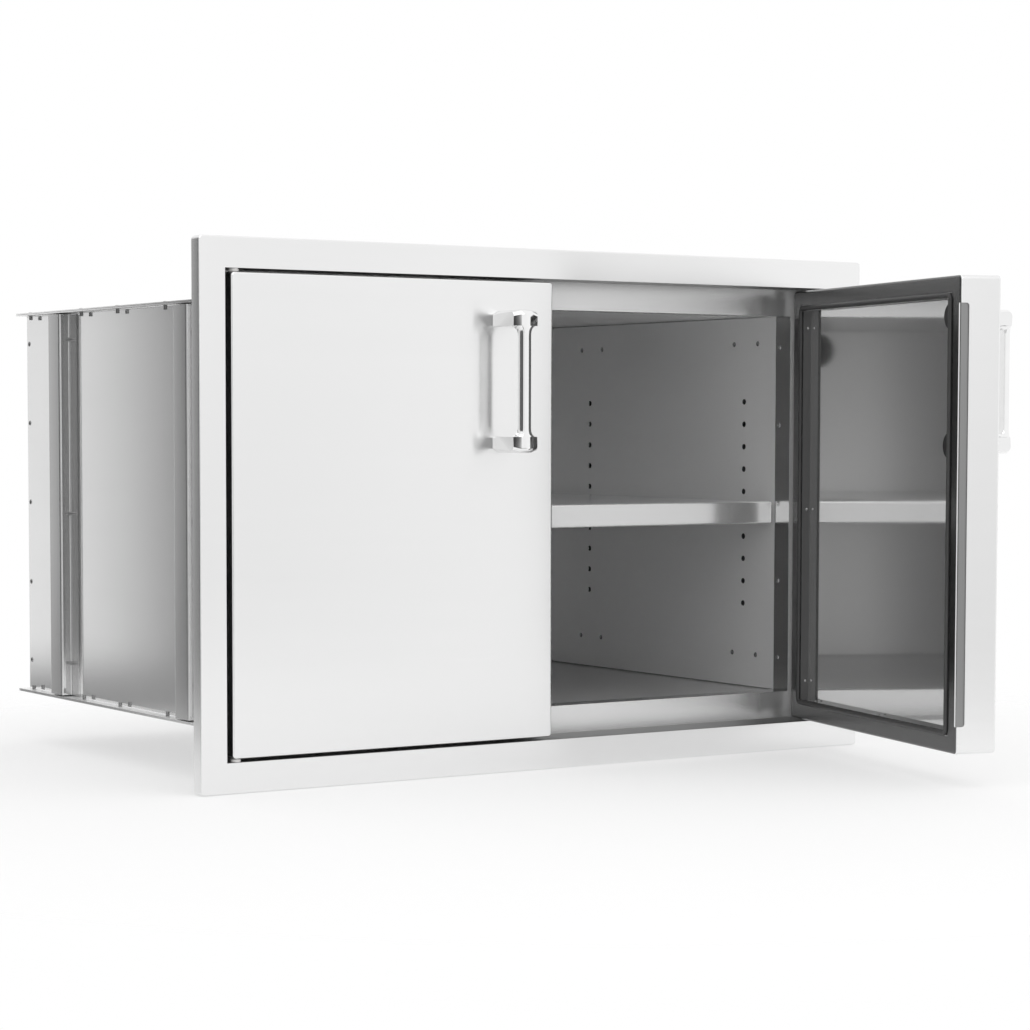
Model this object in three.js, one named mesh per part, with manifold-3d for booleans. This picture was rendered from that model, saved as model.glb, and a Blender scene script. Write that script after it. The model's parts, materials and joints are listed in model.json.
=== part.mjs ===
// A built-in stainless steel dry-storage cabinet for an outdoor kitchen counter.
// A trim frame with a door pocket carries a folded sheet box behind it, with one
// shelf on pins. Two thick doors with recessed liners turn on corner pivot pins.
// Units are millimetres. X runs to the right, Y from the front to the back, Z up.
// The origin is on the plane where the trim meets the counter's front, at the
// middle of the bottom hem.

import * as THREE from 'three';
import { mergeVertices } from 'three/addons/utils/BufferGeometryUtils.js';
import Module from 'manifold-3d';

const wasm = await Module();
wasm.setup();

// Overall sizes
const frameWidth = 812.8;
const frameHeight = 533.4;
const cabinetDepth = 533.4;

// Clearance between pieces that touch, and how far a cutter runs past what it cuts
const seat = 0.3;
const overrun = 2;

// Trim frame: face rails, outer return with its hem, and the walls of the pocket that takes the doors
const frameSheet = 1.5;
const sideRail = 28;
const crossRail = 30;
const returnDepth = 15;
const hemWidth = 8;
const frameCorner = 2.5;
const frameBend = 1.4;

// Stop frame: the flange that the gaskets meet and the collar that the box is riveted to
const stopInset = 59;
const collarDepth = 25;

// Box walls, folded from thinner sheet
const boxSheet = 1.2;
const boxBend = 1.2;
const boxLip = 13;
const backFlange = 10;

// Shelf pin holes in two columns on each side wall
const frontColumn = 131.5;
const rearColumnFromBack = 97.1;
const holePitch = 25.4;
const holeCount = 10;
const pinHoleRadius = 3.3;
const holeCountBelowShelf = 4;

// Hat channels outside the side walls that close the pin holes
const channelWidth = 30;
const channelDepth = 13;
const channelFlange = 18;
const channelForward = 4.4;

// Shelf and its pins
const shelfSheet = 1.2;
const shelfFront = 75;
const shelfBackGap = 2;
const shelfLip = 25;
const shelfSideLip = 12.7;
const shelfHem = 8;
const shelfTabGap = 1.4;
const pinRadius = 3;
const pinCollarRadius = 4.5;
const pinCollar = 1.5;
const pinReach = 11;
const pinTail = 8;

// Rubber grommet in the back wall
const grommetFromCentre = 210;
const grommetFromTop = 83;
const grommetRadius = 22;
const grommetHoleRadius = 17;
const grommetFlange = 2.6;

// Doors
const hingeGap = 6.3;
const doorGap = 3.2;
const centreGap = 4.2;
const doorThickness = 45;
const doorSheet = 1.2;
const doorBend = 2.4;
const doorCorner = 1.6;
const doorLip = 16;
const notchDepth = 10;
const notchFromEnd = 27;
const notchRadius = 3;
const rightDoorOpen = THREE.MathUtils.degToRad(76.5);

// Door liners and gaskets
const linerSheet = 1.2;
const linerRecess = 10.5;
const linerReturn = 22;
const gasketWidth = 5.2;
const gasketBulge = 2.5;
const gasketRound = 1.4;

// Corner pivots
const pivotInset = 5.5;
const pinShaftRadius = 2.5;
const pinHeadRadius = 3.6;
const pinHeadHeight = 2;
const pinDepth = 14;
const bushingFlangeRadius = 5;
const bushingSleeveRadius = 3.4;
const bushingSleeve = 6;

// Bow handles with wide ends and a slim grip
const handleSpacing = 127;
const handleFromFree = 59;
const handleFromTop = 102.2;
const handleReach = 41.5;
const gripThickness = 7.5;
const gripWidth = 12.5;
const legWidth = 30;
const legThickness = 16;
const legRound = 3;
const legRoundWidth = 8;
const bowOuterRadius = 20;
const bowInnerRadius = 11;
const neckWidth = 18;
const neckLength = 9;

// Handle screws, and the plugs in the liner beside them
const screwRadius = 2;
const screwHeadRadius = 4;
const screwHead = 2.6;
const screwGrip = 10;
const plugFromFree = 36.2;
const plugRadius = 13;
const plugHoleRadius = 11.3;
const plugFlange = 1.4;
const plugBody = 6;

// Facets on round and bent shapes
const bendSteps = 3;
const smallRoundSteps = 12;
const roundSteps = 24;

// Places worked out from the sizes above, measured from the face of the frame and its bottom edge
const halfWidth = frameWidth / 2;
const pocketDepth = doorThickness + gasketBulge + seat;
const stopBack = pocketDepth + frameSheet;
const boxInset = stopInset - frameSheet - seat;
const wallInner = halfWidth - boxInset;
const wallOuter = wallInner + boxSheet;
const boxFront = stopBack + seat;
const boxLow = boxInset;
const boxHigh = frameHeight - boxInset;
const backWeb = cabinetDepth - backFlange;
const columns = [frontColumn, cabinetDepth - rearColumnFromBack];
const holeHeight = (index) => frameHeight / 2 + (index - (holeCount - 1) / 2) * holePitch;
const doorHinge = halfWidth - sideRail - hingeGap;
const doorFree = centreGap / 2;
const doorLow = crossRail + doorGap;
const doorHigh = frameHeight - crossRail - doorGap;
const linerRim = doorThickness - doorSheet - seat;
const linerFloor = doorThickness - linerRecess;
const linerBend = doorBend - doorSheet - seat;
const pivotX = doorHinge - pivotInset;
const handleX = doorFree + handleFromFree;
const handleZ = doorHigh - handleFromTop;
const plugX = doorFree + plugFromFree;

// Finishes
function steel(color, roughness) {
  return new THREE.MeshStandardMaterial({ color, roughness, metalness: 1 });
}

function rubber(color) {
  return new THREE.MeshStandardMaterial({ color, roughness: 0.7, metalness: 0 });
}

const brushedSteel = steel(0xc9c9c9, 0.32);
const boxSteel = steel(0xb4b4b6, 0.25);
const mirrorSteel = steel(0xb9b9bb, 0.12);
const chrome = steel(0xdedede, 0.06);
const zincSteel = steel(0xa8a8aa, 0.35);
const gasketRubber = rubber(0x2b2b2c);
const plugRubber = rubber(0x121213);
const bushingNylon = new THREE.MeshStandardMaterial({ color: 0xdcdcd6, roughness: 0.5, metalness: 0 });

// Booleans on closed meshes
function solid(geometry) {
  const bare = geometry.index ? geometry.toNonIndexed() : geometry.clone();
  bare.deleteAttribute('normal');
  bare.deleteAttribute('uv');
  const merged = mergeVertices(bare, 1e-4);
  return new wasm.Manifold(new wasm.Mesh({
    numProp: 3,
    vertProperties: new Float32Array(merged.attributes.position.array),
    triVerts: new Uint32Array(merged.index.array),
  }));
}

function geometryOf(body) {
  const { vertProperties, triVerts } = body.getMesh();
  const geometry = new THREE.BufferGeometry();
  geometry.setAttribute('position', new THREE.BufferAttribute(vertProperties, 3));
  geometry.setIndex(new THREE.BufferAttribute(triVerts, 1));
  geometry.computeVertexNormals();
  return geometry;
}

function joined(pieces) {
  return pieces.reduce((whole, piece) => whole.add(piece));
}

function cut(body, cutters) {
  return cutters.reduce((rest, cutter) => rest.subtract(cutter), body);
}

// Outlines are drawn in X and Z, and a plate carries one from yFront to yBack
function rectangle(left, right, low, high, radius = 0) {
  const shape = new THREE.Shape();
  if (radius === 0) {
    shape.moveTo(left, low).lineTo(right, low).lineTo(right, high).lineTo(left, high).closePath();
    return shape;
  }
  const quarter = Math.PI / 2;
  shape.absarc(right - radius, low + radius, radius, -quarter, 0);
  shape.absarc(right - radius, high - radius, radius, 0, quarter);
  shape.absarc(left + radius, high - radius, radius, quarter, 2 * quarter);
  shape.absarc(left + radius, low + radius, radius, 2 * quarter, 3 * quarter);
  shape.closePath();
  return shape;
}

function plate(shape, yFront, yBack) {
  const options = { depth: yBack - yFront, bevelEnabled: false, curveSegments: bendSteps };
  const geometry = new THREE.ExtrudeGeometry(shape, options);
  geometry.rotateX(Math.PI / 2).translate(0, yBack, 0);
  return solid(geometry);
}

// A block between two depths whose front and back edges are rounded
function roundedBlock(left, right, low, high, yFront, yBack, corner, round) {
  const shape = rectangle(left + round, right - round, low + round, high - round, corner);
  const options = {
    depth: yBack - yFront - 2 * round,
    bevelEnabled: true,
    bevelSize: round,
    bevelThickness: round,
    bevelSegments: bendSteps,
    curveSegments: bendSteps,
  };
  const geometry = new THREE.ExtrudeGeometry(shape, options);
  geometry.rotateX(Math.PI / 2).translate(0, yBack - round, 0);
  return solid(geometry);
}

// A ring that follows the frame, between two distances in from its outer edge
function ring(sideOut, crossOut, sideIn, crossIn, yFront, yBack, corner = 0) {
  const left = sideOut - halfWidth;
  const low = crossOut;
  const shape = rectangle(left, -left, low, frameHeight - low, corner);
  shape.holes.push(rectangle(sideIn - halfWidth, halfWidth - sideIn, crossIn, frameHeight - crossIn));
  return plate(shape, yFront, yBack);
}

// The closed outline of a folded sheet. The path runs along one face, the sheet lies to its left,
// and every fold has the same inner radius.
function foldedSheet(path, sheet, bend) {
  const points = path.map(([x, y]) => new THREE.Vector2(x, y));
  const along = points.slice(1).map((point, i) => point.clone().sub(points[i]).normalize());
  const across = along.map((step) => new THREE.Vector2(-step.y, step.x));
  const faces = [[], []];
  faces.forEach((face, side) => {
    const shift = side * sheet;
    face.push(points[0].clone().addScaledVector(across[0], shift));
    for (let i = 1; i < points.length - 1; i += 1) {
      const turn = along[i - 1].cross(along[i]);
      const outer = (turn > 0) === (side === 0);
      const radius = outer ? bend + sheet : bend;
      const half = Math.acos(along[i - 1].dot(along[i])) / 2;
      const spread = across[i - 1].clone().add(across[i]).divideScalar(2 * Math.cos(half) ** 2);
      const corner = points[i].clone().addScaledVector(spread, shift);
      const centre = corner.clone().addScaledVector(spread, Math.sign(turn) * radius);
      const start = corner.clone().addScaledVector(along[i - 1], -radius * Math.tan(half)).sub(centre);
      for (let step = 0; step <= bendSteps; step += 1) {
        const angle = Math.sign(turn) * 2 * half * (step / bendSteps);
        face.push(start.clone().rotateAround(new THREE.Vector2(), angle).add(centre));
      }
    }
    face.push(points.at(-1).clone().addScaledVector(across.at(-1), shift));
  });
  return new THREE.Shape([...faces[0], ...faces[1].reverse()]);
}

// An outline in Y and Z carried along X
function barAlongX(shape, left, right) {
  const options = { depth: right - left, bevelEnabled: false, curveSegments: bendSteps };
  const geometry = new THREE.ExtrudeGeometry(shape, options);
  const turn = new THREE.Matrix4().makeBasis(
    new THREE.Vector3(0, 1, 0), new THREE.Vector3(0, 0, 1), new THREE.Vector3(1, 0, 0));
  geometry.applyMatrix4(turn).translate(left, 0, 0);
  return solid(geometry);
}

// A turned piece. The profile lists radius and distance along the axis.
function turned(profile, steps, axis) {
  const points = profile.map(([radius, distance]) => new THREE.Vector2(radius, distance));
  const geometry = new THREE.LatheGeometry(points, steps);
  const turn = new THREE.Quaternion().setFromUnitVectors(new THREE.Vector3(0, 1, 0), axis);
  return solid(geometry.applyQuaternion(turn));
}

const alongX = new THREE.Vector3(1, 0, 0);
const alongY = new THREE.Vector3(0, 1, 0);
const alongZ = new THREE.Vector3(0, 0, 1);

// A round bar from one distance along its axis to another
function rod(radius, from, to, axis, steps = smallRoundSteps) {
  return turned([[0, from], [radius, from], [radius, to], [0, to]], steps, axis);
}

const cabinet = new THREE.Group();
cabinet.position.set(0, -returnDepth, -hemWidth / 2);

function addPiece(parent, name, body, material) {
  const mesh = new THREE.Mesh(geometryOf(body), material);
  mesh.name = name;
  parent.add(mesh);
}

const sides = [{ side: -1, word: 'left' }, { side: 1, word: 'right' }];
const ends = [{ up: 1, word: 'upper' }, { up: -1, word: 'lower' }];

// The face, its outer return and hem, and the pocket's walls are one folded and welded piece
function makeFaceFrame() {
  const sleeveBack = pocketDepth - seat;
  const sheets = joined([
    ring(0, 0, sideRail, crossRail, 0, frameSheet),
    ring(0, 0, frameSheet, frameSheet, 0, returnDepth),
    ring(0, 0, hemWidth, hemWidth, returnDepth - frameSheet, returnDepth),
    ring(sideRail - frameSheet, crossRail - frameSheet, sideRail, crossRail, 0, sleeveBack),
  ]);
  const envelope = roundedBlock(
    -halfWidth, halfWidth, 0, frameHeight, 0, pocketDepth + overrun, frameCorner, frameBend);
  const pinHoles = sides.map(({ side }) => rod(pinShaftRadius + seat, -overrun, frameHeight + overrun, alongZ)
    .translate([side * pivotX, pivotInset, 0]));
  const bottomKept = plate(rectangle(-halfWidth, halfWidth, 0, crossRail - frameSheet - seat), 0, pocketDepth);
  const topKept = plate(
    rectangle(-halfWidth, halfWidth, frameHeight - crossRail + frameSheet + seat, frameHeight), 0, pocketDepth);
  const drills = pinHoles.map((hole) => cut(hole, [bottomKept, topKept]));
  return cut(sheets.intersect(envelope), drills);
}

function makeStopFrame() {
  return joined([
    ring(sideRail - frameSheet, crossRail - frameSheet, stopInset, stopInset, pocketDepth, stopBack),
    ring(stopInset - frameSheet, stopInset - frameSheet, stopInset, stopInset,
      pocketDepth, pocketDepth + collarDepth),
  ]);
}

addPiece(cabinet, 'face_frame', makeFaceFrame(), brushedSteel);
addPiece(cabinet, 'stop_frame', makeStopFrame(), boxSteel);

// A side wall with lips turned outwards at its top and bottom
function makeSidePanel(side) {
  const low = boxLow + seat;
  const high = boxHigh - seat;
  const lipEnd = wallOuter + boxLip;
  const path = side > 0
    ? [[lipEnd, high], [wallInner, high], [wallInner, low], [lipEnd, low]]
    : [[-lipEnd, low], [-wallInner, low], [-wallInner, high], [-lipEnd, high]];
  const wall = plate(foldedSheet(path, boxSheet, boxBend), boxFront, cabinetDepth);
  const holes = columns.flatMap((y) => Array.from({ length: holeCount }, (_, index) =>
    rod(pinHoleRadius, wallInner - overrun, wallOuter + overrun, alongX)
      .scale([side, 1, 1])
      .translate([0, y, holeHeight(index)])));
  return cut(wall, holes);
}

// A hat channel with its flanges flat on the wall
function makeChannel(side, column) {
  const near = wallOuter + seat;
  const flangeFace = near + boxSheet;
  const far = near + channelDepth;
  const front = column - channelForward - channelWidth / 2;
  const back = column - channelForward + channelWidth / 2;
  const path = [
    [flangeFace, front - channelFlange], [flangeFace, front], [far, front],
    [far, back], [flangeFace, back], [flangeFace, back + channelFlange],
  ];
  const outline = foldedSheet(path, boxSheet, boxBend);
  const clear = boxSheet + boxBend + 2 * seat;
  const low = boxLow + clear;
  const high = boxHigh - clear;
  const options = { depth: high - low, bevelEnabled: false };
  const channel = solid(new THREE.ExtrudeGeometry(outline, options).translate(0, 0, low));
  return side > 0 ? channel : channel.mirror([1, 0, 0]);
}

const lipReach = wallOuter + boxLip;
addPiece(cabinet, 'top_panel',
  plate(rectangle(-lipReach, lipReach, boxHigh, boxHigh + boxSheet), boxFront, cabinetDepth), boxSteel);
addPiece(cabinet, 'bottom_panel',
  plate(rectangle(-lipReach, lipReach, boxLow - boxSheet, boxLow), boxFront, cabinetDepth), boxSteel);
for (const { side, word } of sides) {
  addPiece(cabinet, `${word}_side_panel`, makeSidePanel(side), boxSteel);
  addPiece(cabinet, `${word}_front_channel`, makeChannel(side, columns[0]), zincSteel);
  addPiece(cabinet, `${word}_rear_channel`, makeChannel(side, columns[1]), zincSteel);
}

// The back wall is a shallow pan whose rim turns to the rear, with one hole for the grommet
const grommetZ = frameHeight - grommetFromTop;

function makeBackPanel() {
  const half = wallInner - seat;
  const low = boxLow + seat;
  const high = boxHigh - seat;
  const rim = roundedBlock(-half, half, low, high, backWeb, cabinetDepth + overrun, boxBend, boxBend);
  const hollow = plate(
    rectangle(boxSheet - half, half - boxSheet, low + boxSheet, high - boxSheet),
    backWeb + boxSheet, cabinetDepth + 2 * overrun);
  const trim = plate(rectangle(-halfWidth, halfWidth, 0, frameHeight), cabinetDepth, cabinetDepth + 2 * overrun);
  const hole = rod(grommetHoleRadius + seat, backWeb - overrun, backWeb + boxSheet + overrun, alongY, roundSteps)
    .translate([grommetFromCentre, 0, grommetZ]);
  return cut(rim, [hollow, trim, hole]);
}

function makeGrommet() {
  const front = -seat - grommetFlange;
  const back = boxSheet + seat + grommetFlange;
  const rimRadius = grommetRadius - grommetFlange / 2;
  return turned([
    [0, front], [rimRadius, front], [grommetRadius, -seat - grommetFlange / 2], [grommetRadius, -seat],
    [grommetHoleRadius, -seat], [grommetHoleRadius, boxSheet + seat], [rimRadius, boxSheet + seat],
    [rimRadius, back], [0, back],
  ], roundSteps, alongY).translate([grommetFromCentre, backWeb, grommetZ]);
}

addPiece(cabinet, 'back_panel', makeBackPanel(), boxSteel);
addPiece(cabinet, 'cable_grommet', makeGrommet(), plugRubber);

// The shelf is folded down on all four sides, with hems under its front and rear lips
const shelfHalf = wallInner - 2 * seat - pinCollar - seat;
const shelfTop = holeHeight(holeCountBelowShelf) + pinRadius + seat + shelfSideLip;
const shelfBack = backWeb - shelfBackGap;

function makeShelf() {
  const low = shelfTop - shelfLip;
  const lipsPath = [
    [shelfFront + shelfHem, low], [shelfFront, low], [shelfFront, shelfTop],
    [shelfBack, shelfTop], [shelfBack, low], [shelfBack - shelfHem, low],
  ];
  const lipHalf = shelfHalf - shelfSheet - shelfTabGap;
  const lips = barAlongX(foldedSheet(lipsPath.toReversed(), shelfSheet, boxBend), -lipHalf, lipHalf);
  const sideLow = shelfTop - shelfSideLip;
  const sidesPath = [[-shelfHalf, sideLow], [-shelfHalf, shelfTop], [shelfHalf, shelfTop], [shelfHalf, sideLow]];
  const inset = shelfSheet + boxBend;
  const deck = plate(
    foldedSheet(sidesPath.toReversed(), shelfSheet, boxBend), shelfFront + inset, shelfBack - inset);
  return lips.add(deck);
}

function makeShelfPin(side, column) {
  const tip = wallInner - pinReach;
  const collarFace = wallInner - seat - pinCollar;
  const tail = wallOuter + pinTail;
  const pin = turned([
    [0, tip], [pinRadius, tip], [pinRadius, collarFace], [pinCollarRadius, collarFace],
    [pinCollarRadius, wallInner - seat], [pinRadius, wallInner - seat], [pinRadius, tail], [0, tail],
  ], smallRoundSteps, alongX).translate([0, column, holeHeight(holeCountBelowShelf)]);
  return side > 0 ? pin : pin.mirror([1, 0, 0]);
}

addPiece(cabinet, 'shelf', makeShelf(), boxSteel);
for (const { side, word } of sides) {
  addPiece(cabinet, `${word}_front_shelf_pin`, makeShelfPin(side, columns[0]), chrome);
  addPiece(cabinet, `${word}_rear_shelf_pin`, makeShelfPin(side, columns[1]), chrome);
}

// Pivot pins stand in the pocket's walls, and bushings in the doors turn on them
function makePivotPin(side, up) {
  const wallFace = crossRail - frameSheet - seat;
  const head = wallFace - pinHeadHeight;
  const tip = doorLow + pinDepth;
  const pin = turned([
    [0, head], [pinHeadRadius, head], [pinHeadRadius, wallFace], [pinShaftRadius, wallFace],
    [pinShaftRadius, tip], [0, tip],
  ], smallRoundSteps, alongZ);
  const placed = up > 0 ? pin.mirror([0, 0, 1]).translate([0, 0, frameHeight]) : pin;
  return placed.translate([side * pivotX, pivotInset, 0]);
}

function makeBushing(side, up) {
  const bore = pinShaftRadius + seat;
  const low = crossRail + seat;
  const seatFace = doorLow - seat;
  const end = doorLow + bushingSleeve;
  const bushing = turned([
    [bore, low], [bushingFlangeRadius, low], [bushingFlangeRadius, seatFace], [bushingSleeveRadius, seatFace],
    [bushingSleeveRadius, end], [bore, end], [bore, low],
  ], roundSteps, alongZ);
  const placed = up > 0 ? bushing.mirror([0, 0, 1]).translate([0, 0, frameHeight]) : bushing;
  return placed.translate([side * pivotX, pivotInset, 0]);
}

for (const { side, word } of sides) {
  for (const end of ends) {
    addPiece(cabinet, `${word}_${end.word}_pivot_pin`, makePivotPin(side, end.up), zincSteel);
  }
}

// A door is drawn closed on the right-hand side. On the left it is mirrored.
function onSide(side, body) {
  return side > 0 ? body : body.mirror([1, 0, 0]);
}

// The pan is a folded box with a lip all round its back. Its free side is cut back to show the liner's skirt.
function makeDoorPan() {
  const outer = roundedBlock(doorFree, doorHinge, doorLow, doorHigh, 0, doorThickness, doorCorner, doorBend);
  const inner = doorBend - doorSheet;
  const hollow = roundedBlock(
    doorFree + doorSheet, doorHinge - doorSheet, doorLow + doorSheet, doorHigh - doorSheet,
    doorSheet, doorThickness - doorSheet, doorCorner, inner);
  const window = plate(
    rectangle(doorFree + doorLip, doorHinge - doorLip, doorLow + doorLip, doorHigh - doorLip, doorCorner),
    doorThickness - doorSheet - overrun, doorThickness + overrun);
  const notchShape = rectangle(
    doorThickness - notchDepth, doorThickness + notchRadius + overrun,
    doorLow + notchFromEnd, doorHigh - notchFromEnd, notchRadius);
  const notch = barAlongX(notchShape, doorFree - overrun, doorFree + doorBend);
  const pivotHole = rod(bushingSleeveRadius + seat, doorLow - overrun, doorHigh + overrun, alongZ)
    .translate([pivotX, pivotInset, 0]);
  const screwHoles = handleFeet.map((z) => rod(screwRadius + seat, -overrun, doorSheet + overrun, alongY)
    .translate([handleX, 0, z]));
  return cut(outer, [hollow, window, notch, pivotHole, ...screwHoles]);
}

const handleFeet = [handleZ + handleSpacing / 2, handleZ - handleSpacing / 2];

// The liner is a folded tray. Its skirt lies inside the pan, its rim under the pan's lip and the
// gasket, and its floor is set back from the rim.
function makeLiner() {
  const doorPlate = (inset, corner, front, back) => plate(
    rectangle(doorFree + inset, doorHinge - inset, doorLow + inset, doorHigh - inset, corner), front, back);
  const skirt = doorSheet + seat;
  const wall = doorLip + gasketWidth + 2 * seat;
  const front = linerRim - linerReturn;
  const outer = roundedBlock(
    doorFree + skirt, doorHinge - skirt, doorLow + skirt, doorHigh - skirt,
    front - overrun, linerRim, doorCorner, linerBend);
  const behind = doorPlate(0, 0, front - 2 * overrun, front);
  const core = doorPlate(skirt + linerSheet, doorCorner, front - overrun, linerRim - linerSheet);
  const well = doorPlate(wall - linerSheet, 0, linerFloor - linerSheet, linerRim);
  const recess = doorPlate(wall, 0, linerFloor, linerRim + overrun);
  const plugHoles = handleFeet.map((z) =>
    rod(plugHoleRadius + seat, linerFloor - linerSheet - overrun, linerFloor + overrun, alongY, roundSteps)
      .translate([plugX, 0, z]));
  return cut(cut(outer, [behind, core]).add(well), [recess, ...plugHoles]);
}

// The gasket lies on the liner's rim beside the pan's lip
function makeGasket() {
  const edge = doorLip + seat;
  const outer = roundedBlock(
    doorFree + edge, doorHinge - edge, doorLow + edge, doorHigh - edge,
    linerRim + seat, doorThickness + gasketBulge, gasketRound, gasketRound);
  const inset = edge + gasketWidth;
  const window = plate(
    rectangle(doorFree + inset, doorHinge - inset, doorLow + inset, doorHigh - inset, gasketRound),
    linerRim - overrun, doorThickness + gasketBulge + overrun);
  return cut(outer, [window]);
}

// The bow is the common part of its side outline, whose long edges are rounded, and its front outline
function makeHandle() {
  const half = handleSpacing / 2 + legThickness / 2;
  const innerHalf = half - legThickness;
  const back = legRound;
  const front = -handleReach;
  const gripBack = front + gripThickness;
  const bow = new THREE.Shape();
  const quarter = Math.PI / 2;
  bow.moveTo(back, -half);
  bow.absarc(front + bowOuterRadius, bowOuterRadius - half, bowOuterRadius, -quarter, -2 * quarter, true);
  bow.absarc(front + bowOuterRadius, half - bowOuterRadius, bowOuterRadius, 2 * quarter, quarter, true);
  bow.lineTo(back, half);
  bow.lineTo(back, innerHalf);
  bow.absarc(gripBack + bowInnerRadius, innerHalf - bowInnerRadius, bowInnerRadius, quarter, 2 * quarter);
  bow.absarc(gripBack + bowInnerRadius, bowInnerRadius - innerHalf, bowInnerRadius, 2 * quarter, 3 * quarter);
  bow.lineTo(back, -innerHalf);
  bow.closePath();
  const options = {
    depth: legWidth - 2 * legRoundWidth,
    bevelEnabled: true,
    bevelThickness: legRoundWidth,
    bevelSize: legRound,
    bevelOffset: -legRound,
    bevelSegments: bendSteps,
    curveSegments: bendSteps,
  };
  const turn = new THREE.Matrix4().makeBasis(
    new THREE.Vector3(0, 1, 0), new THREE.Vector3(0, 0, 1), new THREE.Vector3(1, 0, 0));
  const side = new THREE.ExtrudeGeometry(bow, options);
  side.applyMatrix4(turn).translate(legRoundWidth - legWidth / 2, 0, 0);
  const wide = legWidth / 2 + overrun;
  const neck = neckWidth / 2;
  const thin = gripWidth / 2;
  const neckEnd = innerHalf - neckLength;
  const neckMiddle = innerHalf - neckLength / 2;
  const outline = new THREE.Shape();
  outline.moveTo(-wide, -half - overrun).lineTo(wide, -half - overrun);
  outline.lineTo(wide, -innerHalf).lineTo(neck, -innerHalf);
  outline.bezierCurveTo(thin, -innerHalf, thin, -neckMiddle, thin, -neckEnd);
  outline.lineTo(thin, neckEnd);
  outline.bezierCurveTo(thin, neckMiddle, thin, innerHalf, neck, innerHalf);
  outline.lineTo(wide, innerHalf).lineTo(wide, half + overrun).lineTo(-wide, half + overrun);
  outline.lineTo(-wide, innerHalf).lineTo(-neck, innerHalf);
  outline.bezierCurveTo(-thin, innerHalf, -thin, neckMiddle, -thin, neckEnd);
  outline.lineTo(-thin, -neckEnd);
  outline.bezierCurveTo(-thin, -neckMiddle, -thin, -innerHalf, -neck, -innerHalf);
  outline.lineTo(-wide, -innerHalf);
  outline.closePath();
  const face = plate(outline, -handleReach - overrun, -seat);
  const screwHoles = [1, -1].map((up) => rod(screwRadius + seat, -screwGrip - seat, overrun, alongY)
    .translate([0, 0, up * handleSpacing / 2]));
  return cut(solid(side).intersect(face), screwHoles).translate([handleX, 0, handleZ]);
}

function makeHandleScrew(z) {
  const seatFace = doorSheet + seat;
  return turned([
    [0, -screwGrip], [screwRadius, -screwGrip], [screwRadius, seatFace], [screwHeadRadius, seatFace],
    [screwHeadRadius, seatFace + screwHead / 2], [screwHeadRadius / 2, seatFace + screwHead],
    [0, seatFace + screwHead],
  ], smallRoundSteps, alongY).translate([handleX, 0, z]);
}

function makePlug(z) {
  const face = linerFloor + seat;
  return turned([
    [0, face - plugBody], [plugHoleRadius, face - plugBody], [plugHoleRadius, face], [plugRadius, face],
    [plugRadius, face + plugFlange / 2], [plugRadius - plugFlange, face + plugFlange], [0, face + plugFlange],
  ], roundSteps, alongY).translate([plugX, 0, z]);
}

function makeDoor(side, word, openAngle) {
  const hinge = new THREE.Group();
  hinge.position.set(side * pivotX, pivotInset, 0);
  hinge.rotation.z = side * openAngle;
  const leaf = new THREE.Group();
  leaf.position.set(-side * pivotX, -pivotInset, 0);
  hinge.add(leaf);
  cabinet.add(hinge);
  addPiece(leaf, `${word}_door_pan`, onSide(side, makeDoorPan()), brushedSteel);
  addPiece(leaf, `${word}_door_liner`, onSide(side, makeLiner()), mirrorSteel);
  addPiece(leaf, `${word}_door_gasket`, onSide(side, makeGasket()), gasketRubber);
  addPiece(leaf, `${word}_handle`, onSide(side, makeHandle()), chrome);
  for (const end of ends) {
    const z = handleZ + end.up * handleSpacing / 2;
    addPiece(leaf, `${word}_${end.word}_bushing`, makeBushing(side, end.up), bushingNylon);
    addPiece(leaf, `${word}_${end.word}_handle_screw`, onSide(side, makeHandleScrew(z)), zincSteel);
    addPiece(leaf, `${word}_${end.word}_access_plug`, onSide(side, makePlug(z)), plugRubber);
  }
}

makeDoor(-1, 'left', 0);
makeDoor(1, 'right', rightDoorOpen);

export default cabinet;
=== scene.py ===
# %% [markdown]
# # A built-in stainless steel storage cabinet
#
# The cabinet is folded from thin steel sheet. A wide trim frame covers the edge of a counter's cut-out, two
# thick doors turn in the frame, and a box with one shelf hangs behind it. Its solids come from CAD, with every
# size settled. This lesson adds what a camera sees: soft bends, brushed and polished steel, chrome bow handles,
# rubber gaskets, rivets, and the light that metal needs around it.

# %% Load the solids
import json
import math

import bmesh
import bpy
from mathutils import Matrix, Vector


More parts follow.
